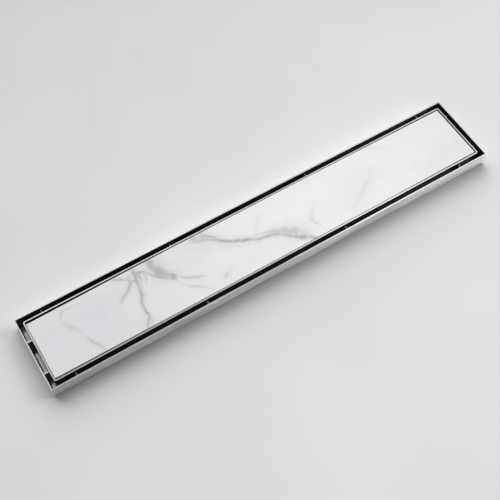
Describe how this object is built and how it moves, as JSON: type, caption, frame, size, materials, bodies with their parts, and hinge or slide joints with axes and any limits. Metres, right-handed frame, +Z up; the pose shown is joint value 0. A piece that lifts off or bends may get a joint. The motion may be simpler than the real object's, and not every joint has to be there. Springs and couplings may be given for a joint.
{
  "type": "linear shower drain",
  "caption": "Long shallow stainless floor drain with a marble tile insert, a narrow water slot all round and a round spigot outlet underneath.",
  "frame": {"origin": "centre of the outlet spigot's lower end", "axes": "+X along the drain, +Y across it, +Z up, with the tile's face upwards"},
  "size_m": [0.6, 0.098, 0.056],
  "materials": {
    "channel_steel": "satin",
    "tray_steel": "satin",
    "fin_steel": "satin",
    "outlet_steel": "satin",
    "strainer_steel": "satin",
    "marble": "polished",
    "adhesive": "matte"
  },
  "bodies": {
    "root": {"channel_body": "channel_steel", "outlet_spigot": "outlet_steel", "hair_strainer": "strainer_steel", "tile_tray": "tray_steel", "tile_bed": "adhesive", "marble_tile": "marble", "spacer_fin_front_1": "fin_steel", "spacer_fin_front_2": "fin_steel", "spacer_fin_front_3": "fin_steel", "spacer_fin_front_4": "fin_steel", "spacer_fin_back_1": "fin_steel", "spacer_fin_back_2": "fin_steel", "spacer_fin_back_3": "fin_steel", "spacer_fin_back_4": "fin_steel", "spacer_fin_left_1": "fin_steel", "spacer_fin_left_2": "fin_steel", "spacer_fin_right_1": "fin_steel", "spacer_fin_right_2": "fin_steel"}
  },
  "joints": []
}
